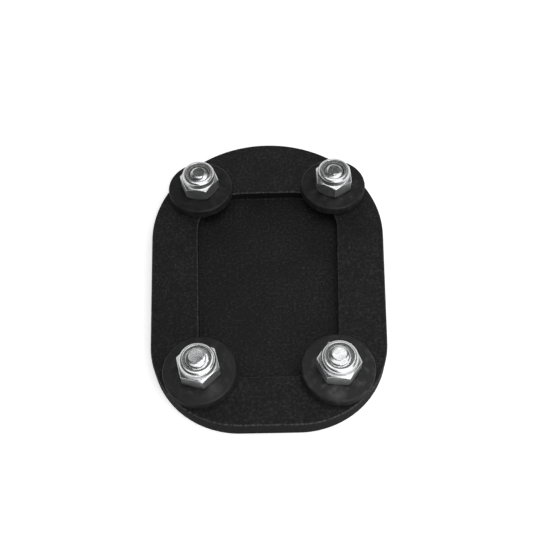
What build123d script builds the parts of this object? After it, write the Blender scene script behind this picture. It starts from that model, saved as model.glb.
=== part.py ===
from build123d import *
import os
from math import cos, radians, sin, tan

# Kickstand foot enlarger, in millimetres
# The origin is on the ground under the middle of the plate's outline.
# X runs across, +Y runs to the round far end and Z is up.
# One milled plate has a shallow pocket in its top. Four discs reach over the pocket's
# corners, and each is clamped by a countersunk bolt and a lock nut.

os.makedirs("parts", exist_ok=True)

# Pocket: it tapers towards the near edge
pocket_length = 60.5
pocket_near_width = 36.0
pocket_far_width = 42.0
pocket_corner_radius = 13.0
pocket_depth = 3.0
pocket_rim_chamfer = 0.3

# Plate: the borders it leaves round the pocket, and the corners of its outline
near_border = 13.2
far_border = 19.3
side_border = 12.5
plate_near_radius = 24.0
plate_near_straight = 14.6
plate_thickness = 5.8
plate_rim_chamfer = 0.6
plate_sole_chamfer = 0.4

# Bolt places: how far each bolt stands inside the pocket's square corner. The far
# two stand a little outside its far edge.
near_bolt_inset_x = 0.3
near_bolt_inset_y = 0.9
far_bolt_inset_x = 1.2
far_bolt_inset_y = -0.55

# Clamp discs
disc_diameter = 19.0
disc_thickness = 2.8
disc_top_chamfer = 0.5
disc_bottom_chamfer = 0.25

# Bolts: M6, countersunk, with a hexagon socket. The near pair stands 1 mm proud of its
# nuts and the far pair ends level with them.
bolt_diameter = 6.0
near_bolt_length = 16.0
far_bolt_length = 15.0
bolt_head_diameter = 12.0
bolt_head_land = 0.3
bolt_head_recess = 0.2
countersink_angle = 90.0
bolt_tip_chamfer = 0.95
socket_across_flats = 4.0
socket_depth = 2.3
socket_point = 0.6

# Lock nuts: M6, a hexagon with a turned collar crimped over a nylon ring
nut_across_flats = 10.0
nut_hexagon_height = 4.5
nut_height = 6.6
nut_face_diameter = 9.5
nut_chamfer_angle = 30.0
nut_blank_margin = 0.2
collar_diameter = 9.4
collar_shoulder = 0.7
collar_mouth_diameter = 7.1
collar_mouth_chamfer = 0.2
ring_recess_diameter = 8.3
ring_recess_depth = 2.1
crimp_thickness = 0.55
nut_bore_mouth = 6.8

# How far each nut had turned when it was tight, in degrees
nut_turns = {"near_left": -16.0, "near_right": -6.0, "far_left": -7.5, "far_right": -27.5}

# Fits
bolt_hole_clearance = 0.2
countersink_clearance = 0.02
thread_clearance = 0.02
ring_clearance = 0.02

# Heights and places that follow from the sizes above
pocket_floor = plate_thickness - pocket_depth
disc_top = plate_thickness + disc_thickness
plate_length = near_border + pocket_length + far_border
plate_far_radius = pocket_far_width / 2 + side_border
near_edge_y = -plate_length / 2
far_edge_y = plate_length / 2
pocket_near_y = near_edge_y + near_border
pocket_far_y = far_edge_y - far_border
near_bolt_x = pocket_near_width / 2 - near_bolt_inset_x
near_bolt_y = pocket_near_y + near_bolt_inset_y
far_bolt_x = pocket_far_width / 2 - far_bolt_inset_x
far_bolt_y = pocket_far_y - far_bolt_inset_y
bolt_radius = bolt_diameter / 2
head_radius = bolt_head_diameter / 2
head_taper = tan(radians(countersink_angle / 2))
countersink_radius = head_radius + (bolt_head_recess + bolt_head_land) * head_taper + countersink_clearance
bolt_hole_radius = bolt_radius + bolt_hole_clearance
thread_bore_radius = bolt_radius + thread_clearance
bolt_places = {
    "near_left": (-near_bolt_x, near_bolt_y),
    "near_right": (near_bolt_x, near_bolt_y),
    "far_left": (-far_bolt_x, far_bolt_y),
    "far_right": (far_bolt_x, far_bolt_y),
}
bolt_lengths = {
    "near_left": near_bolt_length,
    "near_right": near_bolt_length,
    "far_left": far_bolt_length,
    "far_right": far_bolt_length,
}


def flat_plane(place, height, turn=0.0):
    """Level plane over a bolt place, turned about the bolt by an angle in degrees."""
    x_axis = (cos(radians(turn)), sin(radians(turn)), 0)
    return Plane(origin=(*place, height), x_dir=x_axis, z_dir=(0, 0, 1))


def section_plane(place, height):
    """Upright plane through a bolt place: its x is the radius, its y the height."""
    return Plane(origin=(*place, height), x_dir=(1, 0, 0), z_dir=(0, -1, 0))


def bolt_axis(place):
    return Axis((*place, 0), (0, 0, 1))


# Base plate, milled from one piece
with BuildPart() as base_plate:
    with BuildSketch() as outline:
        with Locations((0, far_edge_y - plate_far_radius)):
            Circle(plate_far_radius)
        near_corner_y = near_edge_y + plate_near_radius
        with Locations((-plate_near_straight / 2, near_corner_y), (plate_near_straight / 2, near_corner_y)):
            Circle(plate_near_radius)
        make_hull()
    extrude(amount=plate_thickness)
    chamfer(base_plate.edges().group_by(Axis.Z)[-1], plate_rim_chamfer)
    chamfer(base_plate.edges().group_by(Axis.Z)[0], plate_sole_chamfer)

    with BuildSketch(Plane.XY.offset(pocket_floor)) as pocket:
        with BuildLine():
            Polyline(
                (-pocket_near_width / 2, pocket_near_y),
                (pocket_near_width / 2, pocket_near_y),
                (pocket_far_width / 2, pocket_far_y),
                (-pocket_far_width / 2, pocket_far_y),
                close=True,
            )
        make_face()
        fillet(pocket.vertices(), pocket_corner_radius)
    extrude(amount=pocket_depth, mode=Mode.SUBTRACT)
    top_face = base_plate.faces().filter_by(Plane.XY).sort_by(Axis.Z)[-1]
    chamfer(top_face.inner_wires()[0].edges(), pocket_rim_chamfer)

    # Bolt holes, countersunk from below so that the heads stay clear of the ground
    with Locations(*[Plane(origin=(*place, 0), z_dir=(0, 0, -1)) for place in bolt_places.values()]):
        CounterSinkHole(
            radius=bolt_hole_radius,
            counter_sink_radius=countersink_radius,
            depth=plate_thickness,
            counter_sink_angle=countersink_angle,
        )

base_plate.part.label = "base_plate"
export_step(base_plate.part, "parts/base_plate.step")


# The four clamping stacks: disc, bolt, lock nut and nylon ring
for corner, place in bolt_places.items():

    # Clamp disc: it lies on the plate and reaches over the pocket's corner
    with BuildPart() as clamp_disc:
        with BuildSketch(flat_plane(place, plate_thickness)):
            Circle(disc_diameter / 2)
            Circle(bolt_hole_radius, mode=Mode.SUBTRACT)
        extrude(amount=disc_thickness)
        top_rim = clamp_disc.edges().group_by(Axis.Z)[-1].sort_by(SortBy.RADIUS)[-1]
        chamfer(top_rim, disc_top_chamfer)
        bottom_rim = clamp_disc.edges().group_by(Axis.Z)[0].sort_by(SortBy.RADIUS)[-1]
        chamfer(bottom_rim, disc_bottom_chamfer)
    clamp_disc.part.label = f"clamp_disc_{corner}"
    export_step(clamp_disc.part, f"parts/clamp_disc_{corner}.step")

    # Countersunk bolt, head down in the plate
    head_cone_top = bolt_head_land + (head_radius - bolt_radius) / head_taper
    bolt_length = bolt_lengths[corner]
    with BuildPart() as bolt:
        with BuildSketch(section_plane(place, bolt_head_recess)):
            with BuildLine():
                Polyline(
                    (0, 0),
                    (head_radius, 0),
                    (head_radius, bolt_head_land),
                    (bolt_radius, head_cone_top),
                    (bolt_radius, bolt_length - bolt_tip_chamfer),
                    (bolt_radius - bolt_tip_chamfer, bolt_length),
                    (0, bolt_length),
                    close=True,
                )
            make_face()
        revolve(axis=bolt_axis(place))
        with BuildSketch(flat_plane(place, bolt_head_recess)):
            RegularPolygon(socket_across_flats / 2, 6, major_radius=False)
        extrude(amount=socket_depth, mode=Mode.SUBTRACT)
        with Locations(flat_plane(place, bolt_head_recess + socket_depth)):
            Cone(
                bottom_radius=socket_across_flats / 2,
                top_radius=0,
                height=socket_point,
                align=(Align.CENTER, Align.CENTER, Align.MIN),
                mode=Mode.SUBTRACT,
            )
    bolt.part.label = f"bolt_{corner}"
    export_step(bolt.part, f"parts/bolt_{corner}.step")

    # Lock nut: the hexagon is cut to 30 degree chamfers by a turned blank, and the
    # collar above it is crimped inwards over the ring
    face_radius = nut_face_diameter / 2
    blank_radius = nut_across_flats / 2 / cos(radians(30)) + nut_blank_margin
    blank_rise = (blank_radius - face_radius) * tan(radians(nut_chamfer_angle))
    recess_floor = nut_height - crimp_thickness - ring_recess_depth
    crimp_underside = nut_height - crimp_thickness
    with BuildPart() as lock_nut:
        with BuildSketch(flat_plane(place, disc_top, nut_turns[corner])):
            RegularPolygon(nut_across_flats / 2, 6, major_radius=False)
        extrude(amount=nut_hexagon_height)
        with BuildSketch(section_plane(place, disc_top)):
            with BuildLine():
                Polyline(
                    (0, 0),
                    (face_radius, 0),
                    (blank_radius, blank_rise),
                    (blank_radius, nut_hexagon_height - blank_rise),
                    (face_radius, nut_hexagon_height),
                    (0, nut_hexagon_height),
                    close=True,
                )
            make_face()
        revolve(axis=bolt_axis(place), mode=Mode.INTERSECT)
        with BuildSketch(flat_plane(place, disc_top + nut_hexagon_height)):
            Circle(collar_diameter / 2)
        extrude(amount=nut_height - nut_hexagon_height)
        collar_rim = lock_nut.edges().group_by(Axis.Z)[-1]
        chamfer(collar_rim, collar_shoulder)
        with BuildSketch(section_plane(place, disc_top)):
            with BuildLine():
                Polyline(
                    (0, 0),
                    (nut_bore_mouth / 2, 0),
                    (thread_bore_radius, nut_bore_mouth / 2 - thread_bore_radius),
                    (thread_bore_radius, recess_floor),
                    (ring_recess_diameter / 2, recess_floor),
                    (ring_recess_diameter / 2, crimp_underside),
                    (collar_mouth_diameter / 2, crimp_underside),
                    (collar_mouth_diameter / 2, nut_height),
                    (0, nut_height),
                    close=True,
                )
            make_face()
        revolve(axis=bolt_axis(place), mode=Mode.SUBTRACT)
        mouth_edge = lock_nut.edges().group_by(Axis.Z)[-1].sort_by(SortBy.RADIUS)[0]
        chamfer(mouth_edge, collar_mouth_chamfer)
    lock_nut.part.label = f"lock_nut_{corner}"
    export_step(lock_nut.part, f"parts/lock_nut_{corner}.step")

    # Nylon ring, captive under the crimp
    with BuildPart() as nylon_ring:
        with BuildSketch(flat_plane(place, disc_top + recess_floor)):
            Circle(ring_recess_diameter / 2 - ring_clearance)
            Circle(thread_bore_radius, mode=Mode.SUBTRACT)
        extrude(amount=ring_recess_depth - ring_clearance)
    nylon_ring.part.label = f"nylon_ring_{corner}"
    export_step(nylon_ring.part, f"parts/nylon_ring_{corner}.step")
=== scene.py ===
# %% [markdown]
# Kickstand foot enlarger
#
# A black powder-coated plate has a shallow pocket in its top. Over each corner of the
# pocket lies a thick black disc, and a countersunk bolt from below holds it with a
# bright lock nut. This lesson dresses the five kinds of piece in Blender: it makes
# finer meshes around the CAD frame and gives each its finish.
#
# The frame is loaded first, because every place and height below is read from it.

import bmesh
import bpy
from math import acos, atan2, ceil, cos, hypot, pi, radians, sin, tan
from mathutils import Matrix, Vector


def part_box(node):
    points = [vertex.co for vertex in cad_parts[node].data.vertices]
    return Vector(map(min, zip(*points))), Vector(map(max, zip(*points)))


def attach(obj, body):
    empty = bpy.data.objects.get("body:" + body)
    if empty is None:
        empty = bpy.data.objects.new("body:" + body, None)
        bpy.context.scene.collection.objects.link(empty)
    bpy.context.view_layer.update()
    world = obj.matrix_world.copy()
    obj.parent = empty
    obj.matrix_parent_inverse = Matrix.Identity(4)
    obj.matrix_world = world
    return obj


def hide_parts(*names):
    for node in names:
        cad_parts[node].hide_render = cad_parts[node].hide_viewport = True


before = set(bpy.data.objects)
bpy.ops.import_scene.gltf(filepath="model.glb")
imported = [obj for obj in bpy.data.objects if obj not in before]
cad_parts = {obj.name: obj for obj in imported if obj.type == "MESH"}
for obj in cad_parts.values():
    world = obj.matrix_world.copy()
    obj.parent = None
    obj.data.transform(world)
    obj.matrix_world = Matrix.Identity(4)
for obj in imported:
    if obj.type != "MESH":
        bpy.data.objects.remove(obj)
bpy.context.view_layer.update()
MM = 0.001
CORNERS = ("near_left", "near_right", "far_left", "far_right")


# %% [markdown]
# Measuring the frame
#
# A maker keeps one drawing and measures from it. Each stack of disc, nut, ring and
# bolt stands on one axis, so its place is the middle of the bolt's box, and the
# heights are the tops and bottoms of the boxes. Reading them keeps this file right
# when the CAD sizes change. Every name that ends in MM, and every bare size of a
# piece, is in millimetres.

# %% Places and heights, in millimetres
def box_mm(node):
    """Lowest and highest corner of a CAD node, in millimetres."""
    low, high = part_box(node)
    return low / MM, high / MM


def middle(node):
    """Place of a node's upright axis."""
    low, high = box_mm(node)
    return (low.x + high.x) / 2, (low.y + high.y) / 2


plate_low, plate_high = box_mm("base_plate")
disc_low, disc_high = box_mm("clamp_disc_near_left")
nut_low, nut_high = box_mm("lock_nut_near_left")
ring_low, ring_high = box_mm("nylon_ring_near_left")
bolt_low = box_mm("bolt_near_left")[0]
bolt_tops = {corner: box_mm(f"bolt_{corner}")[1].z for corner in CORNERS}
places = {corner: middle(f"bolt_{corner}") for corner in CORNERS}
print("bolt axes:", {corner: (round(x, 2), round(y, 2)) for corner, (x, y) in places.items()})
print("heights:", round(plate_high.z, 2), round(disc_high.z, 2), round(nut_high.z, 2))
print("bolt tops:", {corner: round(top, 2) for corner, top in bolt_tops.items()})


# %% [markdown]
# Writing a finish
#
# Every finish below is one Principled shader with a few nodes in front of it. Colours
# are written as sRGB hex, as in a paint chart, and one function turns them to the
# linear numbers that the shader wants. Another adds a node with its settings and
# its links, so that each finish reads as a short list. The patterns are noise in the
# object's own space, which needs no unwrapping and has real sizes. A pixel of the
# render covers about 0.3 mm of the part, so a pattern finer than 0.6 mm or so is
# partly lost in it.

# %% Material helpers
def linear(colour):
    """sRGB hex to linear red, green, blue and alpha, by the sRGB curve."""
    parts = [int(colour[place:place + 2], 16) / 255 for place in (1, 3, 5)]
    return [c / 12.92 if c <= 0.04045 else ((c + 0.055) / 1.055) ** 2.4 for c in parts] + [1.0]


def add(tree, kind, settings=None, inputs=None, stops=()):
    """Add a node with its settings and links. An input takes a plain value, a socket,
    or a node, whose first output it then reads. Stops are those of a colour ramp."""
    node = tree.nodes.new(kind)
    for key, value in (settings or {}).items():
        setattr(node, key, value)
    for key, value in (inputs or {}).items():
        source = value.outputs[0] if isinstance(value, bpy.types.Node) else value
        if isinstance(source, bpy.types.NodeSocket):
            tree.links.new(source, node.inputs[key])
        else:
            node.inputs[key].default_value = source
    for index, (position, colour) in enumerate(stops):
        elements = node.color_ramp.elements
        stop = elements[index] if index < 2 else elements.new(position)
        stop.position, stop.color = position, linear(colour)
    return node


def new_material(name):
    """An empty node material, its tree, and the place of each point on the surface."""
    material = bpy.data.materials.new(name)
    material.use_nodes = True
    tree = material.node_tree
    tree.nodes.clear()
    return material, tree, add(tree, "ShaderNodeTexCoord").outputs["Object"]


def per_metre(size_mm):
    """Texture scale that gives one feature per size."""
    return 1 / (size_mm * MM)


print("mid grey in linear light:", round(linear("#808080")[0], 3))


# %% [markdown]
# What wears, what is painted as edge highlight, and what settles
#
# Two things tell where a coat is worn or dusty. Edges rub first, and the paler colour
# painted on them is also a painted highlight where the broken edge catches the light.
# A broken edge is a face that slopes between level and upright. Dust settles in small
# specks with bare coat between them, and cells of a Voronoi pattern give those: a spot
# in the middle of each cell, and the cell's own colour to choose a few of them.

# %% Wear, painted edge highlight and dust
# The paler band on the plate's top edge is rubbed coat and also a painted highlight.
RUB_AND_HIGHLIGHT_DEPTH_MM = (1.0, 0.8)
SPOT_REACH = (0.09, 0.03)
SPOT_DRAW = (0.6, 0.95)


def face_slope(tree):
    """1 on faces that look up, 0 on upright ones and -1 on those that look down."""
    normal = add(tree, "ShaderNodeNewGeometry").outputs["True Normal"]
    return add(tree, "ShaderNodeSeparateXYZ", inputs={0: normal}).outputs["Z"]


def all_of(tree, *shares):
    """Product of several shares from 0 to 1."""
    share = shares[0]
    for other in shares[1:]:
        share = add(tree, "ShaderNodeMath", {"operation": "MULTIPLY"}, {0: share, 1: other})
    return share


def rubbed_and_highlit_edges(tree, place, patches):
    """1 on sloping faces near the plate's top where the patches are high: rubbed coat, and a
    painted highlight on the broken edge.
    """
    slope = face_slope(tree)
    height = add(tree, "ShaderNodeSeparateXYZ", inputs={0: place}).outputs["Z"]
    near_top = add(tree, "ShaderNodeMapRange", inputs={
        "Value": height,
        "From Min": (plate_high.z - RUB_AND_HIGHLIGHT_DEPTH_MM[0]) * MM,
        "From Max": (plate_high.z - RUB_AND_HIGHLIGHT_DEPTH_MM[1]) * MM})
    past_upright = add(tree, "ShaderNodeMapRange", inputs={
        "Value": slope, "From Min": 0.2, "From Max": 0.6})
    short_of_level = add(tree, "ShaderNodeMapRange", inputs={
        "Value": slope, "From Min": 0.98, "From Max": 0.8})
    broken = add(tree, "ShaderNodeMapRange", inputs={
        "Value": patches, "From Min": 0.38, "From Max": 0.62})
    return all_of(tree, near_top, past_upright, short_of_level, broken)


def dust_specks(tree, place, spacing_mm):
    """1 on small specks, about one to a few cells of the spacing, and 0 between."""
    cells = add(tree, "ShaderNodeTexVoronoi", inputs={
        "Vector": place, "Scale": per_metre(spacing_mm)})
    spot = add(tree, "ShaderNodeMapRange", inputs={
        "Value": cells.outputs["Distance"],
        "From Min": SPOT_REACH[0], "From Max": SPOT_REACH[1]})
    draw = add(tree, "ShaderNodeSeparateColor", inputs={0: cells.outputs["Color"]})
    chosen = add(tree, "ShaderNodeMapRange", inputs={
        "Value": draw, "From Min": SPOT_DRAW[0], "From Max": SPOT_DRAW[1]})
    return all_of(tree, spot, chosen)


# The edge band in this print is wear and a painted highlight together.
print("edges wear from the top down to", RUB_AND_HIGHLIGHT_DEPTH_MM[0], "mm")


# %% [markdown]
# Powder coat on the plate
#
# The plate is milled and then powder-coated in a fine-texture black. The powder melts
# into small rounded grains, well under a millimetre apart, so the eye sees a dark
# surface with a broken, soft sheen. Two sizes of noise make the grain as bump, and a
# slow one lets the coat vary in tone as it does where it lies thicker. Real grains
# are 0.2 to 0.4 mm, which is too fine to show, so the larger noise is drawn about
# twice as coarse. Handling rubs the broken edges paler in patches, and that paler
# colour also serves as a painted highlight along the rim. There are a few specks of
# dust. The grain scatters light even at a low angle, so the index is set below that
# of a smooth film. On the upright walls the powder lies roughest, so they are made
# rougher, and their colour is darkened towards near black as painted shade, so that
# the walls look blacker and hardly mirror the floor.

# %% Powder coat
GRAIN_MM = 0.7
FINE_GRAIN_MM = 0.3
FINE_GRAIN_SHARE = 0.4
GRAIN_HEIGHT_MM = 0.2
COAT_DRIFT_MM = 9.0
COAT_DRIFT_SHARE = 0.2
COAT_BLACKS = [(0.42, "#080808"), (0.6, "#111111"), (0.78, "#2a2a2a")]
SPECK_MM = 2.6
WALL_ROUGHNESS = 0.95
# Painted shade: upright walls are darkened towards this near black, by the share WALL_SHADE.
WALL_PAINTED_SHADE = "#030303"
WALL_SHADE = 0.65
# Paler colour on broken edges: rubbed coat, and a painted highlight along the rim.
EDGE_RUB_AND_HIGHLIGHT = "#464646"
PLATE_DUST = "#4c4c4c"


def powder_coat():
    material, tree, place = new_material("powder_coat")
    grain = add(tree, "ShaderNodeTexNoise", inputs={
        "Vector": place, "Scale": per_metre(GRAIN_MM), "Detail": 4.0, "Roughness": 0.7})
    fine = add(tree, "ShaderNodeTexNoise", inputs={
        "Vector": place, "Scale": per_metre(FINE_GRAIN_MM), "Detail": 1.0, "Roughness": 0.5})
    drift = add(tree, "ShaderNodeTexNoise", inputs={
        "Vector": place, "Scale": per_metre(COAT_DRIFT_MM), "Detail": 3.0, "Roughness": 0.6})
    tone = add(tree, "ShaderNodeMath", {"operation": "MULTIPLY_ADD"}, {
        0: drift, 1: COAT_DRIFT_SHARE, 2: grain})
    black = add(tree, "ShaderNodeValToRGB", inputs={"Fac": tone}, stops=COAT_BLACKS)
    upright = add(tree, "ShaderNodeMapRange", inputs={
        "Value": face_slope(tree), "From Min": 0.5, "From Max": 0.1})
    # Painted shade on the upright walls.
    shaded = add(tree, "ShaderNodeMix", {"data_type": "RGBA"}, {
        0: all_of(tree, upright, WALL_SHADE), 6: black, 7: linear(WALL_PAINTED_SHADE)}).outputs[2]
    # Paler broken edges: rubbed coat and a painted highlight.
    rubbed_and_highlit = add(tree, "ShaderNodeMix", {"data_type": "RGBA"}, {
        0: rubbed_and_highlit_edges(tree, place, grain), 6: shaded, 7: linear(EDGE_RUB_AND_HIGHLIGHT)}).outputs[2]
    dusty = add(tree, "ShaderNodeMix", {"data_type": "RGBA"}, {
        0: dust_specks(tree, place, SPECK_MM), 6: rubbed_and_highlit, 7: linear(PLATE_DUST)}).outputs[2]
    height = add(tree, "ShaderNodeMath", {"operation": "MULTIPLY_ADD"}, {
        0: fine, 1: FINE_GRAIN_SHARE, 2: grain})
    bump = add(tree, "ShaderNodeBump", inputs={
        "Height": height, "Strength": 0.9, "Distance": GRAIN_HEIGHT_MM * MM})
    sheen = add(tree, "ShaderNodeMapRange", inputs={
        "Value": grain, "From Min": 0.3, "From Max": 0.7, "To Min": 0.62, "To Max": 0.46})
    wall = all_of(tree, upright, WALL_ROUGHNESS)
    roughness = add(tree, "ShaderNodeMath", {"operation": "MAXIMUM"}, {0: sheen, 1: wall})
    shader = add(tree, "ShaderNodeBsdfPrincipled", inputs={
        "Base Color": dusty, "Roughness": roughness, "Normal": bump, "IOR": 1.28})
    add(tree, "ShaderNodeOutputMaterial", inputs={"Surface": shader})
    return material


coat = powder_coat()
print("powder coat nodes:", len(coat.node_tree.nodes))


# %% [markdown]
# Rubbing and painted reflection on the discs
#
# Each disc is paler in patches round its nut, most in a patch on the camera's side of
# the nut, and a little near the rim. Round the nut and in that front patch this is
# partly a spanner's rubbing and partly a painted reflection of the bright nut in the
# disc; near the rim it is handling. Each place is a pair of distances, from the
# disc's axis or from the front patch, over which the paleness rises from nothing to
# its most. Slow noise breaks it into patches, and every disc has its own share.

# %% Rubbing and painted reflection
# Paler rings and patches on the discs are partly rubbing and partly a painted reflection of the
# nut.
ROUND_NUT_REACH_MM = (8.6, 6.0)
RIM_REACH_MM = (7.8, 9.0)
RIM_SHARE = 0.35
FRONT_PATCH_PLACE_MM = 6.6
FRONT_PATCH_REACH_MM = (3.1, 0.8)
# Each front patch lies on the camera's side of its nut, where the nut's painted reflection
# falls.
FRONT_PATCH_TURNS = {"near_left": -58.0, "near_right": -97.0, "far_left": -90.0, "far_right": -90.0}
FRONT_RUB_AND_REFLECTION = {"near_left": 0.45, "near_right": 0.85, "far_left": 0.0, "far_right": 0.15}
DISC_RUB_AND_REFLECTION = {"near_left": 0.35, "near_right": 0.8, "far_left": 0.15, "far_right": 0.4}


def rubbing_and_reflection(tree, level, axis, distance, smudge, corner):
    """How pale a disc is painted at each point, from 0 to 1: rubbing, and a painted reflection
    of the nut.
    """
    round_nut = add(tree, "ShaderNodeMapRange", inputs={
        "Value": distance,
        "From Min": ROUND_NUT_REACH_MM[0] * MM, "From Max": ROUND_NUT_REACH_MM[1] * MM})
    near_rim = add(tree, "ShaderNodeMapRange", inputs={
        "Value": distance, "To Max": RIM_SHARE,
        "From Min": RIM_REACH_MM[0] * MM, "From Max": RIM_REACH_MM[1] * MM})
    where = add(tree, "ShaderNodeMath", {"operation": "MAXIMUM"}, {0: round_nut, 1: near_rim})
    patches = add(tree, "ShaderNodeMapRange", inputs={
        "Value": smudge, "From Min": 0.5, "From Max": 0.8})
    turn = radians(FRONT_PATCH_TURNS[corner])
    front_patch = axis + FRONT_PATCH_PLACE_MM * MM * Vector((cos(turn), sin(turn), 0.0))
    from_front_patch = add(tree, "ShaderNodeVectorMath", {"operation": "DISTANCE"}, {
        0: level, 1: front_patch}).outputs["Value"]
    in_front_patch = add(tree, "ShaderNodeMapRange", inputs={
        "Value": from_front_patch,
        "From Min": FRONT_PATCH_REACH_MM[0] * MM, "From Max": FRONT_PATCH_REACH_MM[1] * MM})
    front_patch_breakup = add(tree, "ShaderNodeMapRange", inputs={
        "Value": smudge, "From Min": 0.2, "From Max": 0.75})
    return add(tree, "ShaderNodeMath", {"operation": "MAXIMUM"}, {
        0: all_of(tree, where, patches, DISC_RUB_AND_REFLECTION[corner]),
        1: all_of(tree, in_front_patch, front_patch_breakup, FRONT_RUB_AND_REFLECTION[corner])})


# The most rubbed disc also has the strongest painted reflection of its nut.
print("most rubbed disc:", max(DISC_RUB_AND_REFLECTION, key=DISC_RUB_AND_REFLECTION.get))


# %% [markdown]
# Satin black on the discs
#
# The discs are turned and carry a thin satin black coat, smoother than the plate's.
# It shows a soft sheen, faint rings from the turning tool under the coat, and specks
# of dust between paler patches, which are partly rubbing and partly a painted
# reflection of the nut. The rings come from the distance to the disc's axis, which is
# why the finish is made once per disc. A tool leaves its rings about 0.15 mm apart
# and the coat's own grain is as fine, so both are drawn two to three times as coarse
# to show at all.

# %% Satin coat
TOOL_RING_MM = 0.45
TOOL_RING_SHARE = 0.12
SATIN_GRAIN_MM = 0.35
SATIN_HEIGHT_MM = 0.05
SMUDGE_MM = 1.8
DUST_MM = 1.5
SATIN_BLACKS = [(0.35, "#131313"), (0.6, "#1a1a1a"), (0.8, "#262626")]
# Paler colour for rubbed patches and for the painted reflection of the nut.
SATIN_RUB_AND_REFLECTION = "#585858"
DISC_DUST = "#4a4a4a"


def satin_coat(corner):
    material, tree, place = new_material(f"satin_coat_{corner}")
    axis = Vector((*places[corner], 0.0)) * MM
    level = add(tree, "ShaderNodeVectorMath", {"operation": "MULTIPLY"}, {
        0: place, 1: (1.0, 1.0, 0.0)})
    distance = add(tree, "ShaderNodeVectorMath", {"operation": "DISTANCE"}, {
        0: level, 1: axis}).outputs["Value"]
    phase = add(tree, "ShaderNodeMath", {"operation": "MULTIPLY"}, {
        0: distance, 1: 2 * pi * per_metre(TOOL_RING_MM)})
    tool_rings = add(tree, "ShaderNodeMath", {"operation": "SINE"}, {0: phase})
    grain = add(tree, "ShaderNodeTexNoise", inputs={
        "Vector": place, "Scale": per_metre(SATIN_GRAIN_MM), "Detail": 2.0})
    smudge = add(tree, "ShaderNodeTexNoise", inputs={
        "Vector": place, "Scale": per_metre(SMUDGE_MM), "Detail": 4.0, "Roughness": 0.6})
    black = add(tree, "ShaderNodeValToRGB", inputs={"Fac": smudge}, stops=SATIN_BLACKS)
    # Paler patches: rubbing and a painted reflection of the nut.
    rub_and_reflection = rubbing_and_reflection(tree, level, axis, distance, smudge, corner)
    rubbed_and_highlit = add(tree, "ShaderNodeMix", {"data_type": "RGBA"}, {
        0: rub_and_reflection, 6: black, 7: linear(SATIN_RUB_AND_REFLECTION)}).outputs[2]
    dusty = add(tree, "ShaderNodeMix", {"data_type": "RGBA"}, {
        0: dust_specks(tree, place, DUST_MM), 6: rubbed_and_highlit, 7: linear(DISC_DUST)}).outputs[2]
    height = add(tree, "ShaderNodeMath", {"operation": "MULTIPLY_ADD"}, {
        0: tool_rings, 1: TOOL_RING_SHARE, 2: grain})
    bump = add(tree, "ShaderNodeBump", inputs={
        "Height": height, "Strength": 0.35, "Distance": SATIN_HEIGHT_MM * MM})
    sheen = add(tree, "ShaderNodeMapRange", inputs={
        "Value": smudge, "From Min": 0.3, "From Max": 0.7, "To Min": 0.36, "To Max": 0.5})
    wall = add(tree, "ShaderNodeMapRange", inputs={
        "Value": face_slope(tree), "From Min": 0.1, "From Max": 0.8,
        "To Min": WALL_ROUGHNESS, "To Max": 0.0})
    roughness = add(tree, "ShaderNodeMath", {"operation": "MAXIMUM"}, {0: sheen, 1: wall})
    shader = add(tree, "ShaderNodeBsdfPrincipled", inputs={
        "Base Color": dusty, "Roughness": roughness, "Normal": bump, "IOR": 1.33})
    add(tree, "ShaderNodeOutputMaterial", inputs={"Surface": shader})
    return material


satin = {corner: satin_coat(corner) for corner in CORNERS}
print("satin coats:", [material.name for material in satin.values()])


# %% [markdown]
# Bright zinc on bolts and nuts
#
# The fasteners are cold-formed steel with bright zinc plating. Zinc gives the eye a
# clean mirror that is a little soft, with clouds where the bath left the layer duller
# and fine marks from the spanner and from tumbling in the barrel. The real marks are
# hair-thin, and are drawn 0.3 mm wide to show. Upright faces, such as a nut's flats,
# keep the drawn bar's rougher skin, while chamfers and collars are turned smooth. It
# is a metal, so its index stays at the default.

# %% Bright zinc
CLOUD_MM = 1.6
MARK_MM = 0.3
MARK_HEIGHT_MM = 0.03
SIDE_ROUGHNESS = 0.4
NUT_TINTS = [(0.3, "#c4c5c6"), (0.7, "#dedfe0")]
BOLT_TINTS = [(0.3, "#bfc0c1"), (0.7, "#d9dadb")]


def bright_zinc(name, tints, smooth, dull):
    material, tree, place = new_material(name)
    cloud = add(tree, "ShaderNodeTexNoise", inputs={
        "Vector": place, "Scale": per_metre(CLOUD_MM), "Detail": 4.0, "Roughness": 0.6})
    marks = add(tree, "ShaderNodeTexNoise", inputs={
        "Vector": place, "Scale": per_metre(MARK_MM), "Detail": 3.0, "Roughness": 0.6})
    colour = add(tree, "ShaderNodeValToRGB", inputs={"Fac": cloud}, stops=tints)
    polish = add(tree, "ShaderNodeMapRange", inputs={
        "Value": cloud, "From Min": 0.35, "From Max": 0.65, "To Min": dull, "To Max": smooth})
    upright = add(tree, "ShaderNodeMapRange", inputs={
        "Value": face_slope(tree), "From Min": 0.05, "From Max": 0.3,
        "To Min": SIDE_ROUGHNESS, "To Max": 0.0})
    roughness = add(tree, "ShaderNodeMath", {"operation": "MAXIMUM"}, {0: polish, 1: upright})
    bump = add(tree, "ShaderNodeBump", inputs={
        "Height": marks, "Strength": 0.25, "Distance": MARK_HEIGHT_MM * MM})
    shader = add(tree, "ShaderNodeBsdfPrincipled", inputs={
        "Base Color": colour, "Metallic": 1.0, "Roughness": roughness, "Normal": bump})
    add(tree, "ShaderNodeOutputMaterial", inputs={"Surface": shader})
    return material


nut_zinc = bright_zinc("bright_zinc_nut", NUT_TINTS, smooth=0.2, dull=0.3)
bolt_zinc = bright_zinc("bright_zinc_bolt", BOLT_TINTS, smooth=0.18, dull=0.28)
print("zinc finishes:", nut_zinc.name, bolt_zinc.name)


# %% [markdown]
# Nylon in the nuts
#
# The ring that locks the thread is natural polyamide: pale, a little see-through and
# waxy. A short scatter below the surface and a soft gloss give that, and slow noise
# lets it look handled.

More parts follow.
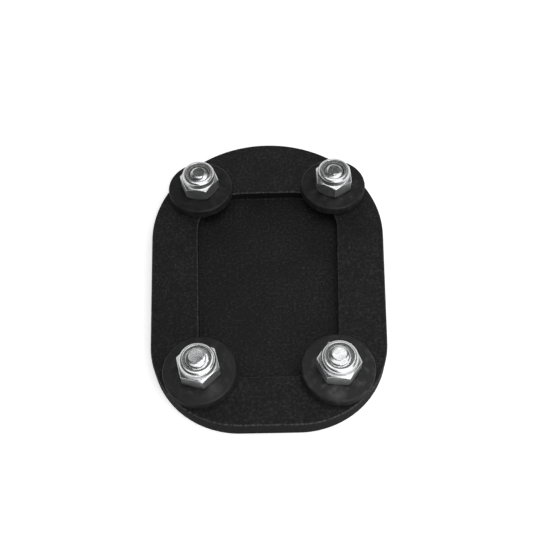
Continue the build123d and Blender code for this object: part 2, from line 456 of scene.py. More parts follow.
# %% Natural nylon
NYLON_CLOUD_MM = 0.8
NYLON_TINTS = [(0.3, "#6c6c6a"), (0.7, "#8e8e8b")]
NYLON_HEIGHT_MM = 0.05
SCATTER_MM = 0.4


def natural_nylon():
    material, tree, place = new_material("natural_nylon")
    cloud = add(tree, "ShaderNodeTexNoise", inputs={
        "Vector": place, "Scale": per_metre(NYLON_CLOUD_MM), "Detail": 3.0})
    colour = add(tree, "ShaderNodeValToRGB", inputs={"Fac": cloud}, stops=NYLON_TINTS)
    bump = add(tree, "ShaderNodeBump", inputs={
        "Height": cloud, "Strength": 0.3, "Distance": NYLON_HEIGHT_MM * MM})
    shader = add(tree, "ShaderNodeBsdfPrincipled", inputs={
        "Base Color": colour, "Roughness": 0.38, "IOR": 1.53, "Normal": bump,
        "Subsurface Weight": 0.2, "Subsurface Scale": 1.0,
        "Subsurface Radius": (SCATTER_MM * MM,) * 3})
    add(tree, "ShaderNodeOutputMaterial", inputs={"Surface": shader})
    return material


nylon = natural_nylon()
print("nylon nodes:", len(nylon.node_tree.nodes))


# %% [markdown]
# The plate's outline
#
# A plate like this is cut from bar on a milling machine, along straights and round
# arcs. Its outline is three circles with a belt round them: one large at the far
# end, two smaller at the near corners. An outline that is all arcs has a handy side:
# moved in or out, it keeps its centres and angles, so every ring of points made from
# it has the same number of them and joins the next with plain four-sided faces.

# %% Outline as arcs
SIDE_BORDER = 12.5
NEAR_RADIUS = 24.0
NEAR_STRAIGHT = 14.6
POCKET_FAR_WIDTH = 42.0


def belt_angle(from_centre, from_radius, to_centre, to_radius):
    """Angle of the outward normal of the straight that touches both circles."""
    dx, dy = to_centre[0] - from_centre[0], to_centre[1] - from_centre[1]
    return atan2(dy, dx) - acos((from_radius - to_radius) / hypot(dx, dy))


far_radius = POCKET_FAR_WIDTH / 2 + SIDE_BORDER
far_centre = (0.0, plate_high.y - far_radius)
near_right_centre = (NEAR_STRAIGHT / 2, plate_low.y + NEAR_RADIUS)
near_left_centre = (-NEAR_STRAIGHT / 2, plate_low.y + NEAR_RADIUS)
side_angle = belt_angle(near_right_centre, NEAR_RADIUS, far_centre, far_radius)
plate_arcs = [
    (far_centre, far_radius, side_angle, pi - side_angle),
    (near_left_centre, NEAR_RADIUS, pi - side_angle, 1.5 * pi),
    (near_right_centre, NEAR_RADIUS, 1.5 * pi, 2 * pi + side_angle),
]
print("plate side angle in degrees:", round(side_angle * 180 / pi, 2))


# %% [markdown]
# The pocket's outline
#
# The pocket is milled into the top and widens towards the far end. It has four round
# corners, and each corner's arc touches a side, which leans by the taper, and an end.
# So it is a list of arcs like the plate's, and one function walks round both lists.

# %% Pocket as arcs
POCKET_LENGTH = 60.5
POCKET_NEAR_WIDTH = 36.0
POCKET_RADIUS = 13.0
NEAR_BORDER = 13.2
DEGREES_PER_STEP = 2.0
pocket_low_y = plate_low.y + NEAR_BORDER
pocket_high_y = pocket_low_y + POCKET_LENGTH
taper = atan2(-(POCKET_FAR_WIDTH - POCKET_NEAR_WIDTH) / 2, POCKET_LENGTH)


def pocket_centre(y, half_width, inward):
    """Centre of a corner arc on the right: it touches the side and an end."""
    centre_y = y + inward * POCKET_RADIUS
    run = centre_y - y
    return half_width - run * tan(taper) - POCKET_RADIUS / cos(taper), centre_y


def ring_of(arcs, grow):
    """Points once round an outline of arcs, moved outwards by grow."""
    points = []
    for (x, y), radius, start, end in arcs:
        steps = ceil((end - start) * 180 / pi / DEGREES_PER_STEP)
        for step in range(steps + 1):
            angle = start + (end - start) * step / steps
            points.append((x + (radius + grow) * cos(angle), y + (radius + grow) * sin(angle)))
    return points


near_x, near_y = pocket_centre(pocket_low_y, POCKET_NEAR_WIDTH / 2, 1)
far_x, far_y = pocket_centre(pocket_high_y, POCKET_FAR_WIDTH / 2, -1)
pocket_arcs = [
    ((far_x, far_y), POCKET_RADIUS, taper, pi / 2),
    ((-far_x, far_y), POCKET_RADIUS, pi / 2, pi - taper),
    ((-near_x, near_y), POCKET_RADIUS, pi - taper, 1.5 * pi),
    ((near_x, near_y), POCKET_RADIUS, 1.5 * pi, 2 * pi + taper),
]
print("points round the plate:", len(ring_of(plate_arcs, 0.0)))
print("points round the pocket:", len(ring_of(pocket_arcs, 0.0)))


# %% [markdown]
# Soft corners
#
# A deburring tool leaves each corner of a section a little round, which is what
# catches the light. A Bevel modifier could round the finished mesh, but it comes out
# uneven beside a flat face that is filled with long thin triangles. So a section is
# drawn with sharp corners and softened before anything is made from it.

# %% Softening a section
SUPPORT = 1.5


def soften(profile, reach):
    """Round each inner corner of a section line, over no more than a quarter of its
    straights, and hold those flat with a point a little further out."""
    soft = [profile[0]]
    for before, here, after in zip(profile, profile[1:], profile[2:]):
        corner = Vector(here)
        back, ahead = Vector(before) - corner, Vector(after) - corner
        start = back.normalized() * min(reach, back.length / 4)
        end = ahead.normalized() * min(reach, ahead.length / 4)
        soft += [tuple(corner + offset) for offset in (
            SUPPORT * start, start, (start + end) / 4, end, SUPPORT * end)]
    return soft + [profile[-1]]


print("points in a softened corner:", len(soften([(0, 0), (1, 0), (1, 1)], 0.1)) - 2)


# %% [markdown]
# Rings of points
#
# One solid with a pocket and four countersunk holes could be made with Boolean
# modifiers, but they leave a mesh that is hard to bevel. Rings are joined here
# instead, and flat faces close the gaps between them.

# %% Rings and flat faces
HOLE_STEPS = 72


def circle_points(place, radius):
    turns = [2 * pi * step / HOLE_STEPS for step in range(HOLE_STEPS)]
    return [(place[0] + radius * cos(turn), place[1] + radius * sin(turn)) for turn in turns]


def add_ring(bm, points, height):
    return [bm.verts.new((x * MM, y * MM, height * MM)) for x, y in points]


def join_rings(bm, rings):
    """Four-sided faces between rings with the same number of points."""
    for lower, upper in zip(rings, rings[1:]):
        for step in range(len(lower)):
            after = (step + 1) % len(lower)
            bm.faces.new((lower[step], lower[after], upper[after], upper[step]))


def close_flat(bm, rings):
    """Fill the flat region between an outer ring and the rings inside it, with a
    sharp border so that its shading stays flat."""
    edges = []
    for ring in rings:
        for step in range(len(ring)):
            pair = (ring[step], ring[(step + 1) % len(ring)])
            edge = bm.edges.get(pair) or bm.edges.new(pair)
            edge.smooth = False
            edges.append(edge)
    bmesh.ops.triangle_fill(bm, edges=edges, use_beauty=True, use_dissolve=False)


print("points round a hole:", len(circle_points((0.0, 0.0), 1.0)))


# %% [markdown]
# From a mesh to a piece
#
# A real part has smooth faces that meet at real edges. So each mesh is shaded smooth
# and keeps an edge sharp where two faces meet at more than a set angle. Then the
# piece rides on the frame's one body, takes its finish as its material, and takes the
# place of its CAD node in the picture.

# %% Finishing a mesh
SHARP_ANGLE = radians(32)
MERGE_MM = 0.0005


def finish_mesh(mesh):
    """Make normals point out, smooth the faces and keep real edges sharp."""
    bm = bmesh.new()
    bm.from_mesh(mesh)
    bmesh.ops.remove_doubles(bm, verts=bm.verts, dist=MERGE_MM * MM)
    bmesh.ops.recalc_face_normals(bm, faces=bm.faces)
    for face in bm.faces:
        face.smooth = True
    for edge in bm.edges:
        edge.smooth = edge.smooth and edge.calc_face_angle(pi) < SHARP_ANGLE
    bm.to_mesh(mesh)
    bm.free()


def put_in_scene(name, mesh, material, node):
    """Link a finished piece, ride it on the body and let it stand for its CAD node."""
    mesh.materials.append(material)
    piece = bpy.data.objects.new(name, mesh)
    bpy.context.scene.collection.objects.link(piece)
    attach(piece, "root")
    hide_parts(node)
    return piece


print("edges are sharp from", round(SHARP_ANGLE * 180 / pi), "degrees")


# %% [markdown]
# The plate
#
# The rings run round the outside from sole to top, down into the pocket, and down
# each hole. Three flat faces close the sole, the top and the pocket's floor. The
# upper edge is only broken, the sole's has a real chamfer, and the cutter's own
# corner leaves a small round where the pocket's wall meets its floor. A narrow level
# band beside each edge keeps the edge's shading out of the flat face.

# %% Plate
POCKET_DEPTH = 3.0
RIM_BREAK = 0.3
SOLE_CHAMFER = 0.4
EDGE_SOFTNESS = 0.08
EDGE_BAND = 4 * EDGE_SOFTNESS
POCKET_RIM = 0.3
FLOOR_ROUND = 0.3
FLOOR_BAND = 2 * FLOOR_ROUND
MID_ROUND = 0.29 * FLOOR_ROUND
HOLE_RADIUS = 3.2
COUNTERSINK_RADIUS = 6.52


def make_plate():
    top, floor_height = plate_high.z, plate_high.z - POCKET_DEPTH
    bm = bmesh.new()
    outside = soften([
        (-SOLE_CHAMFER - EDGE_BAND, 0.0), (-SOLE_CHAMFER, 0.0), (0.0, SOLE_CHAMFER),
        (0.0, top - RIM_BREAK), (-RIM_BREAK, top), (-RIM_BREAK - EDGE_BAND, top),
    ], EDGE_SOFTNESS)
    outer = [add_ring(bm, ring_of(plate_arcs, grow), height) for grow, height in outside]
    join_rings(bm, outer)
    inside = soften([
        (POCKET_RIM + EDGE_BAND, top), (POCKET_RIM, top), (0.0, top - POCKET_RIM),
        (0.0, floor_height + FLOOR_ROUND), (-MID_ROUND, floor_height + MID_ROUND),
        (-FLOOR_ROUND, floor_height), (-FLOOR_BAND, floor_height),
    ], EDGE_SOFTNESS)
    inner = [add_ring(bm, ring_of(pocket_arcs, grow), height) for grow, height in inside]
    join_rings(bm, inner)
    taper_top = COUNTERSINK_RADIUS - HOLE_RADIUS
    mouths, throats = [], []
    for place in places.values():
        mouth = add_ring(bm, circle_points(place, COUNTERSINK_RADIUS), 0.0)
        waist = add_ring(bm, circle_points(place, HOLE_RADIUS), taper_top)
        throat = add_ring(bm, circle_points(place, HOLE_RADIUS), top)
        join_rings(bm, [mouth, waist, throat])
        mouths.append(mouth)
        throats.append(throat)
    close_flat(bm, [outer[0]] + mouths)
    close_flat(bm, [outer[-1], inner[0]] + throats)
    close_flat(bm, [inner[-1]])
    mesh = bpy.data.meshes.new("milled_plate")
    bm.to_mesh(mesh)
    bm.free()
    finish_mesh(mesh)
    return put_in_scene("milled_plate", mesh, coat, "base_plate")


plate = make_plate()
print("plate faces:", len(plate.data.polygons))


# %% [markdown]
# Turning a piece
#
# Discs, rings, nuts and bolts are turned on a lathe or rolled, so they are made the
# same way here: a list of rows runs along the section, and each row goes once round
# the axis. A Screw or Spin modifier would do for plain rings, but a hexagon and a
# thread need a radius that changes with the angle. So a row's radius and height may
# each be a number or a function of the angle.

# %% Turned meshes
def value_at(size, angle):
    return size(angle) if callable(size) else size


def turned_mesh(name, rows, place, steps, looped):
    """Mesh of rows that each go round the axis: looped closes the section on itself,
    otherwise the first and the last row get a flat cap."""
    verts = []
    for radius, height in rows:
        for step in range(steps):
            angle = 2 * pi * step / steps
            reach = value_at(radius, angle)
            x = place[0] + reach * cos(angle)
            y = place[1] + reach * sin(angle)
            verts.append((x * MM, y * MM, value_at(height, angle) * MM))
    faces = []
    count = len(rows)
    for row in range(count if looped else count - 1):
        here, there = row * steps, (row + 1) % count * steps
        for step in range(steps):
            after = (step + 1) % steps
            faces.append((here + step, here + after, there + after, there + step))
    if not looped:
        faces.append(tuple(range(steps - 1, -1, -1)))
        faces.append(tuple(range((count - 1) * steps, count * steps)))
    mesh = bpy.data.meshes.new(name)
    mesh.from_pydata(verts, [], faces)
    finish_mesh(mesh)
    return mesh


def arc_rows(centre_radius, centre_height, radius, start, end, steps):
    """Rows of a rounded edge in the section, from one angle to another in degrees."""
    rows = []
    for step in range(steps + 1):
        turn = radians(start + (end - start) * step / steps)
        rows.append((centre_radius + radius * cos(turn), centre_height + radius * sin(turn)))
    return rows


print("rows in an edge of eight steps:", len(arc_rows(0, 0, 1, 0, 90, 8)))


# %% [markdown]
# The discs
#
# A disc is parted off a turned bar, bored, and its edges are broken on the lathe:
# more on top, where a hand meets it, and less below. The section is drawn once and
# turned round each bolt's axis.

# %% Discs
DISC_TOP_ROUND = 0.5
DISC_TOP_BAND = 1.3 * DISC_TOP_ROUND
DISC_ROUND_STEPS = 8
DISC_BOTTOM_CHAMFER = 0.25
DISC_BORE_RADIUS = 3.2
DISC_STEPS = 144
disc_radius = (disc_high.x - disc_low.x) / 2


def make_disc(corner):
    rows = [
        (DISC_BORE_RADIUS, disc_high.z),
        (DISC_BORE_RADIUS, disc_low.z),
        (disc_radius - DISC_BOTTOM_CHAMFER, disc_low.z),
        (disc_radius, disc_low.z + DISC_BOTTOM_CHAMFER),
    ]
    rows += arc_rows(
        disc_radius - DISC_TOP_ROUND, disc_high.z - DISC_TOP_ROUND, DISC_TOP_ROUND,
        0, 90, DISC_ROUND_STEPS)
    rows.append((disc_radius - DISC_TOP_BAND, disc_high.z))
    mesh = turned_mesh(f"black_disc_{corner}", rows, places[corner], DISC_STEPS, True)
    node = f"clamp_disc_{corner}"
    return put_in_scene(f"black_disc_{corner}", mesh, satin[corner], node)


discs = [make_disc(corner) for corner in CORNERS]
print("disc radius in mm:", round(disc_radius, 2))
print("disc faces:", [len(disc.data.polygons) for disc in discs])


# %% [markdown]
# The thread
#
# An M6 thread climbs 1 mm in a turn, with flanks at 60 degrees and a depth of 0.6134
# of that climb. It is rolled between dies, so its crests and roots are a little
# round. One function gives the depth at any angle and height, and both the bolt and
# the nut use it, so that the thread of one lies in the thread of the other. Each bolt
# stopped at its own turn when it was tight, so each has its thread's start at another
# angle.

# %% Thread
THREAD_PITCH = 1.0
THREAD_RADIUS = 2.97
THREAD_DEPTH = 0.6134 * THREAD_PITCH
CREST_SHARE = 0.16
ROOT_SHARE = 0.74
ROWS_PER_PITCH = 16
FLANK_EASE = 0.05
BOLT_TURNS = {"near_left": -57.0, "near_right": -30.0, "far_left": 100.0, "far_right": 30.0}


def groove(angle, height):
    """How deep in the thread's groove a place is: 0 on the crest and 1 at the root."""
    turn = (height / THREAD_PITCH - angle / (2 * pi)) % 1.0
    away = abs(turn - 0.5) * 2
    share = min(1.0, max(0.0, (away - CREST_SHARE) / (ROOT_SHARE - CREST_SHARE)))
    return share - FLANK_EASE * sin(2 * pi * share)


def thread_heights(low, high):
    """Heights of the rows along a threaded stretch."""
    count = ceil((high - low) / THREAD_PITCH * ROWS_PER_PITCH)
    return [low + (high - low) * step / count for step in range(count + 1)]


print("thread depth in mm:", round(THREAD_DEPTH, 3))


# %% [markdown]
# A hexagon and a curl
#
# Two shapes of the lock nut are made ready first. A hexagon on a lathe is a radius
# that grows from the middle of each flat to the edge, where a small arc rounds it.
# The crimped rim is a smooth curl, and a Bezier curve draws it from its two ends and
# two points that pull it.

# %% Hexagon and curl
def hexagon_reach(angle, across_flats, edge_round):
    """Distance from the axis to a hexagon with rounded edges, one edge at angle 0."""
    off_flat = abs((angle % (pi / 3)) - pi / 6)
    half = across_flats / 2
    centre = (half - edge_round) / cos(pi / 6)
    from_edge = pi / 6 - off_flat
    if half * tan(off_flat) <= (half - edge_round) * tan(pi / 6):
        return half / cos(off_flat)
    return centre * cos(from_edge) + (edge_round ** 2 - (centre * sin(from_edge)) ** 2) ** 0.5


def curve_rows(start, start_pull, end_pull, end, steps):
    """Rows along a smooth curve in the section that the two pull points shape."""
    points = (start, start_pull, end_pull, end)
    rows = []
    for step in range(steps + 1):
        t = step / steps
        shares = ((1 - t) ** 3, 3 * t * (1 - t) ** 2, 3 * t ** 2 * (1 - t), t ** 3)
        rows.append(tuple(
            sum(share * point[i] for share, point in zip(shares, points)) for i in (0, 1)))
    return rows


print("edge of a 10 mm hexagon in mm:", round(hexagon_reach(0.0, 10.0, 0.3), 3))


# %% [markdown]
# The nut's bore
#
# A nut is drilled, opened a little at its mouth and tapped, and a recess above the
# thread holds the nylon ring. Its rows run up the bore and round the recess, and the
# thread among them is the bolt's own, a hair wider.

# %% Bore and recess
NUT_BORE_MOUTH = 3.4
MOUTH_RADIUS = 3.55
CRIMP_THICKNESS = 0.55
THREAD_PLAY = 0.03
THREAD_RUNOUT = 0.05
RING_PLAY = 0.02
ring_radius = (ring_high.x - ring_low.x) / 2


def bore_rows(corner):
    """Section rows of a nut's inside, from the bore's mouth up to the ring's crimp."""
    low, ledge, crimp = nut_low.z, ring_low.z, nut_high.z - CRIMP_THICKNESS
    bore = THREAD_RADIUS + THREAD_PLAY
    mouth_top = low + NUT_BORE_MOUTH - bore
    thread_turn = radians(BOLT_TURNS[corner])

    def threaded(height):
        return lambda angle: bore - THREAD_DEPTH * groove(angle - thread_turn, height)

    rows = [(NUT_BORE_MOUTH, low), (bore, mouth_top)]
    heights = thread_heights(mouth_top + THREAD_RUNOUT, ledge - THREAD_RUNOUT)
    rows += [(threaded(height), height) for height in heights]
    recess = ring_radius + RING_PLAY
    return rows + [(bore, ledge), (recess, ledge), (recess, crimp), (MOUTH_RADIUS, crimp)]


print("rows up a nut's bore:", len(bore_rows("near_left")))


# %% [markdown]
# The nut's collar
#
# Once the nylon ring is in, a die rolls the collar's wall inwards over it, so the rim
# is a smooth fat curl that ends in a small lip. The pull points of that curl are given
# as a radius and a drop from the top. The collar widens a little where it meets the
# hexagon, and those pairs say how far each row lies out and up from there.

# %% Collar
HEXAGON_HEIGHT = 4.5
COLLAR_RADIUS = 4.7
LIP_ROUND = 0.18
LIP_STEPS = 5
CURL_START = 3.74
CURL_PULLS = ((4.16, 0.04), (4.66, 0.36))
CURL_DROP = 1.1
CURL_STEPS = 16
COLLAR_BASE = ((0.0, 0.12), (0.03, 0.03))


def collar_rows():
    """Section rows of the collar, from its lip over the curl and down to its base."""
    top, shoulder = nut_high.z, nut_low.z + HEXAGON_HEIGHT
    rows = arc_rows(MOUTH_RADIUS + LIP_ROUND, top - LIP_ROUND, LIP_ROUND, 180, 90, LIP_STEPS)
    pulls = [(radius, top - drop) for radius, drop in CURL_PULLS]
    curl_end = (COLLAR_RADIUS, top - CURL_DROP)
    rows += curve_rows((CURL_START, top), *pulls, curl_end, CURL_STEPS)
    return rows + [(COLLAR_RADIUS + out, shoulder + up) for out, up in COLLAR_BASE]


print("rows over a collar:", len(collar_rows()))


# %% [markdown]
# The lock nuts
#
# A prevailing-torque nut starts as a hexagon. A lathe chamfers both ends at 30
# degrees, which leaves the curved edge where the cone meets each flat, and turns the
# collar on top. The hexagon's radius is a function of the angle, and the chamfer's
# height follows from that radius, which draws those curved edges by itself. The
# chamfer's edge is softened by four rows at each end, whose pairs say how far each
# lies inside the hexagon and how far past the cone.

# %% Lock nuts
NUT_ACROSS_FLATS = 10.0
NUT_EDGE_ROUND = 0.3
NUT_FACE_RADIUS = 4.75
NUT_CHAMFER_RISE = tan(radians(30))
FACE_BREAK = ((-0.02, 0.0), (0.02, -0.01))
CHAMFER_EDGE = ((0.12, 0.0), (0.04, 0.02), (0.0, 0.09), (0.0, 0.2))
NUT_STEPS = 144
NUT_TURNS = {"near_left": -16.0, "near_right": -6.0, "far_left": -7.5, "far_right": -27.5}


def hexagon_rows(corner):
    """Section rows of the hexagon, from its upper face down to the lower one."""
    low, shoulder = nut_low.z, nut_low.z + HEXAGON_HEIGHT
    turn = radians(NUT_TURNS[corner])

    def hexagon(inset):
        return lambda angle: hexagon_reach(
            angle - turn, NUT_ACROSS_FLATS, NUT_EDGE_ROUND) - inset

    def chamfer(inset, drop, upper):
        def height(angle):
            rise = (hexagon(inset)(angle) - NUT_FACE_RADIUS) * NUT_CHAMFER_RISE + drop
            return shoulder - rise if upper else low + rise
        return height

    rows = [(NUT_FACE_RADIUS + out, shoulder + up) for out, up in FACE_BREAK]
    rows += [(hexagon(inset), chamfer(inset, drop, True)) for inset, drop in CHAMFER_EDGE]
    rows += [
        (hexagon(inset), chamfer(inset, drop, False)) for inset, drop in reversed(CHAMFER_EDGE)]
    return rows + [(NUT_FACE_RADIUS, low)]


def make_nut(corner):
    name = f"lock_nut_body_{corner}"
    rows = bore_rows(corner) + collar_rows() + hexagon_rows(corner)
    mesh = turned_mesh(name, rows, places[corner], NUT_STEPS, True)
    return put_in_scene(name, mesh, nut_zinc, f"lock_nut_{corner}")


nuts = [make_nut(corner) for corner in CORNERS]
print("nut faces:", [len(nut.data.polygons) for nut in nuts])


# %% [markdown]
# The nylon rings
#
# The ring is punched from sheet. When the bolt cuts through it, the nylon swells up
# round the thread in a low collar, so the top is drawn with a small rise there. The
# swell's pairs give each row's distance from the bore and its drop from the top.

# %% Nylon rings
RING_EDGE = 0.1
RING_SWELL = ((0.55, 0.12), (0.3, 0.06), (0.14, 0.0), (0.04, 0.06), (0.0, 0.16))
RING_STEPS = 96


def make_ring(corner):
    name = f"locking_ring_{corner}"
    bore, top = THREAD_RADIUS + RING_PLAY, ring_high.z
    rows = [
        (bore, ring_low.z),
        (ring_radius, ring_low.z),
        (ring_radius, top - RING_EDGE),
        (ring_radius - RING_EDGE, top),
    ]
    rows += [(bore + out, top - drop) for out, drop in RING_SWELL]
    mesh = turned_mesh(name, rows, places[corner], RING_STEPS, True)
    return put_in_scene(name, mesh, nylon, f"nylon_ring_{corner}")


rings = [make_ring(corner) for corner in CORNERS]
print("ring faces:", [len(ring.data.polygons) for ring in rings])


# %% [markdown]
# The bolt's head
#
# A countersunk bolt is headed in a die, and its hexagon socket is punched, which
# leaves a shallow cone at the bottom. The rows start in that cone's point, come out of
# the socket, and go round the head's land and up its taper to the neck.

# %% Head and socket
HEAD_LAND = 0.3
HEAD_RADIUS = 6.0
HEAD_EDGE = 0.1
SOCKET_ACROSS_FLATS = 4.0
SOCKET_EDGE_ROUND = 0.1
SOCKET_DEPTH = 2.3
SOCKET_LEAD = 0.15
SOCKET_POINT = 0.6
POINT_RADIUS = 0.05
NECK_ROUND = 0.15
NECK_RISE = 0.1
shank_start = bolt_low.z + HEAD_LAND + HEAD_RADIUS - THREAD_RADIUS


def head_rows(low):
    """Section rows of a head, from the socket's point round to the shank's neck."""
    def socket(angle):
        return hexagon_reach(angle, SOCKET_ACROSS_FLATS, SOCKET_EDGE_ROUND)

    return [
        (POINT_RADIUS, low + SOCKET_DEPTH + SOCKET_POINT),
        (SOCKET_ACROSS_FLATS / 2 - POINT_RADIUS, low + SOCKET_DEPTH),
        (socket, low + SOCKET_DEPTH),
        (socket, low + SOCKET_LEAD),
        (lambda angle: socket(angle) + SOCKET_LEAD, low),
        (HEAD_RADIUS - HEAD_EDGE, low),
        (HEAD_RADIUS, low + HEAD_EDGE),
        (HEAD_RADIUS, low + HEAD_LAND),
        (THREAD_RADIUS + NECK_ROUND, shank_start - NECK_ROUND),
        (THREAD_RADIUS - THREAD_DEPTH / 2, shank_start + NECK_RISE),
    ]


print("height where the shank starts:", round(shank_start, 2))


# %% [markdown]
# The bolts
#
# The thread is rolled. The blank's tip is a blunt cone, and the dies push the metal up
# round it, so the thread starts as a low spiral ridge that grows out of the cone and
# leaves a notch in the rim of the end. That spiral is what shows inside each nut. Near
# the tip the rows lie between two cones: a steep one for the crests and a blunt one, a
# little further in, for the roots. The end itself is a shallow dish, closed by rows at
# ever smaller shares of the rim.

# %% Bolts
THREAD_START = 0.4
TIP_FACE_RADIUS = 1.85
CREST_CONE = 1.0
ROOT_CONE = 0.3
TIP_FACE_DISH = 0.02
TIP_NOTCH = 0.3
TIP_SHARES = (0.94, 0.85, 0.7, 0.4, 0.1)
BOLT_STEPS = 72


def make_bolt(corner):
    name = f"flat_head_bolt_{corner}"
    top = bolt_tops[corner]
    thread_turn = radians(BOLT_TURNS[corner])

    def threaded(height):
        crest_cone = TIP_FACE_RADIUS + CREST_CONE * (top - height)
        root_cone = TIP_FACE_RADIUS - TIP_NOTCH + ROOT_CONE * (top - height)
        crest = min(THREAD_RADIUS, crest_cone)
        root = min(THREAD_RADIUS - THREAD_DEPTH, root_cone)
        return lambda angle: crest + (root - crest) * groove(angle - thread_turn, height)

    rows = head_rows(bolt_low.z)
    heights = thread_heights(shank_start + THREAD_START, top)
    rows += [(threaded(height), height) for height in heights]
    rim = threaded(top)
    for share in TIP_SHARES:
        dish = TIP_FACE_DISH * (1 - share ** 2)
        rows.append((lambda angle, share=share: share * rim(angle), top - dish))
    mesh = turned_mesh(name, rows, places[corner], BOLT_STEPS, False)
    return put_in_scene(name, mesh, bolt_zinc, f"bolt_{corner}")


bolts = [make_bolt(corner) for corner in CORNERS]
print("bolt faces:", [len(bolt.data.polygons) for bolt in bolts])


# %% [markdown]
# The floor
#
# The part lies on a plain white floor, 6 metres wide so that it runs out of sight. A
# white floor under plain lamps comes out pale grey, so Light Path adds a little glow
# that only the camera, glossy and transmission rays see. The glow is the same
# everywhere, so the object's soft shadow stays. From below the floor is clear, so that
# the sole and the bolts' heads can be looked at too, and it lies a hair under them,
# because two faces at one height would show in patches of each.

# %% Floor
FLOOR_SIZE = 6.0
FLOOR_WHITE = "#f4f4f4"
FLOOR_GLOW = 0.5
FLOOR_DROP_MM = 0.05


def make_floor():
    bpy.ops.mesh.primitive_plane_add(size=FLOOR_SIZE, location=(0, 0, -FLOOR_DROP_MM * MM))
    floor = bpy.context.object
    floor.name = "floor"
    material = bpy.data.materials.new("white_floor")
    material.use_nodes = True
    tree = material.node_tree
    tree.nodes.clear()
    paint = add(tree, "ShaderNodeBsdfDiffuse", inputs={"Color": linear(FLOOR_WHITE)})
    path = add(tree, "ShaderNodeLightPath")
    seen = path.outputs["Is Camera Ray"]
    for kind in ("Is Glossy Ray", "Is Transmission Ray"):
        seen = add(tree, "ShaderNodeMath", {"operation": "MAXIMUM"}, {
            0: seen, 1: path.outputs[kind]})
    strength = add(tree, "ShaderNodeMath", {"operation": "MULTIPLY"}, {0: seen, 1: FLOOR_GLOW})
    glow = add(tree, "ShaderNodeEmission", inputs={"Strength": strength})
    both = add(tree, "ShaderNodeAddShader", inputs={0: paint, 1: glow})
    below = add(tree, "ShaderNodeNewGeometry").outputs["Backfacing"]
    clear = add(tree, "ShaderNodeBsdfTransparent")
    one_sided = add(tree, "ShaderNodeMixShader", inputs={0: below, 1: both, 2: clear})
    add(tree, "ShaderNodeOutputMaterial", inputs={"Surface": one_sided})
    floor.data.materials.append(material)
    return floor


floor = make_floor()
print("floor material:", floor.data.materials[0].name, "and side in metres:", FLOOR_SIZE)


# %% [markdown]
# The light
#
# The photograph has soft light from a white room. Polished metal shows that room like
# a map: a bright backdrop in the far lip of each collar, a large lamp overhead in the
# bolts' ends, another low in front in the broad crescents, and darkness between.
# The sky is a ramp on the height of the ray's direction, white at the horizon and
# dark above. The height is measured from a plane that tips towards the far side,
# where the backdrop stands, so the white reaches higher there. Two large soft lamps
# stand in it. They are large rather than strong, so that a mirror shows them as plain
# white and not as a glare.

# %% Sky and lamps
SKY_STOPS = [(0.50, "#ffffff"), (0.57, "#ffffff"), (0.67, "#8c8c8c"), (0.78, "#444444")]
SKY_TIP = (0.0, -0.3, 1.0)
LAMP_SPREAD = radians(180)


def make_sky():
    world = bpy.data.worlds.new("white_room")
    bpy.context.scene.world = world
    world.use_nodes = True
    tree = world.node_tree
    tree.nodes.clear()
    direction = add(tree, "ShaderNodeTexCoord").outputs["Generated"]
    height = add(tree, "ShaderNodeVectorMath", {"operation": "DOT_PRODUCT"}, {
        0: direction, 1: SKY_TIP}).outputs["Value"]
    share = add(tree, "ShaderNodeMapRange", inputs={
        "Value": height, "From Min": -1.0, "From Max": 1.0})
    colour = add(tree, "ShaderNodeValToRGB", inputs={"Fac": share}, stops=SKY_STOPS)
    sky = add(tree, "ShaderNodeBackground", inputs={"Color": colour, "Strength": 1.0})
    add(tree, "ShaderNodeOutputWorld", inputs={"Surface": sky})


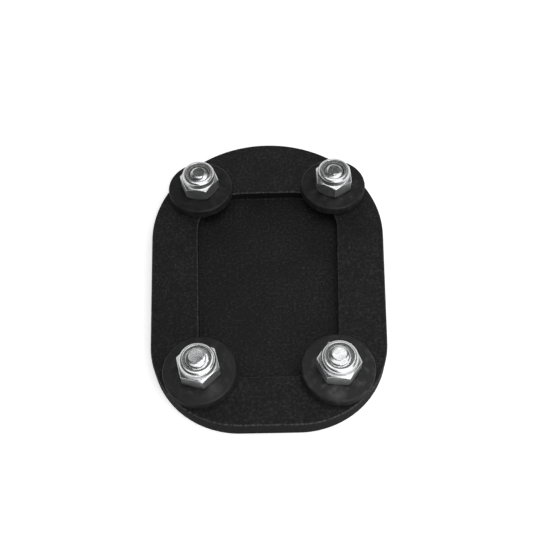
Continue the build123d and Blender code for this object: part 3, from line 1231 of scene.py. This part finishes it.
def soft_lamp(name, place, size, brightness):
    """A flat lamp that faces the middle of the part, in metres. Brightness is what a
    mirror shows of it, where 1 is white, so the power follows from the lamp's area."""
    lamp = bpy.data.lights.new(name, "AREA")
    lamp.shape = "RECTANGLE"
    lamp.size, lamp.size_y = size
    lamp.spread = LAMP_SPREAD
    lamp.energy = brightness * pi * lamp.size * lamp.size_y
    thing = bpy.data.objects.new(name, lamp)
    bpy.context.scene.collection.objects.link(thing)
    thing.location = place
    thing.rotation_mode = "QUATERNION"
    thing.rotation_quaternion = (-Vector(place)).to_track_quat("-Z", "Y")
    print(name, "power in watts:", round(lamp.energy, 2))


make_sky()
soft_lamp("overhead_lamp", place=(0.035, 0.02, 0.42), size=(0.32, 0.52), brightness=1.7)
soft_lamp("front_lamp", place=(0.119, -0.193, 0.164), size=(0.27, 0.27), brightness=2.3)


# %% [markdown]
# The camera
#
# The photograph looks down at about 56 degrees. The place in millimetres, the angles
# and the focal length were worked out from where the four bolts, the discs and the
# plate's edge land in the picture, whose frame is 533 pixels each way.

# %% Camera
PICTURE_PIXELS = 533.0
FOCAL_PIXELS = 748.61
SENSOR_MM = 36.0
CLIP_START = 0.01
CAMERA_PLACE = (2.92, -115.76, 181.54)
CAMERA_YAW = -1.61
CAMERA_PITCH = 56.50
CAMERA_ROLL = -2.58


def make_camera():
    yaw, pitch, roll = radians(CAMERA_YAW), radians(CAMERA_PITCH), radians(CAMERA_ROLL)
    forward = Vector((sin(yaw) * cos(pitch), cos(yaw) * cos(pitch), -sin(pitch)))
    level = Vector((cos(yaw), -sin(yaw), 0.0))
    upright = level.cross(forward)
    right = level * cos(roll) + upright * sin(roll)
    up = upright * cos(roll) - level * sin(roll)
    camera = bpy.data.cameras.new("camera")
    camera.sensor_width = SENSOR_MM
    camera.lens = FOCAL_PIXELS / PICTURE_PIXELS * SENSOR_MM
    camera.clip_start = CLIP_START
    thing = bpy.data.objects.new("camera", camera)
    bpy.context.scene.collection.objects.link(thing)
    turn = Matrix((right, up, -forward)).transposed().to_4x4()
    thing.matrix_world = Matrix.Translation(Vector(CAMERA_PLACE) * MM) @ turn
    bpy.context.scene.camera = thing
    return thing


camera = make_camera()
bpy.context.scene.view_settings.view_transform = "Standard"
print("lens in mm:", round(camera.data.lens, 2))
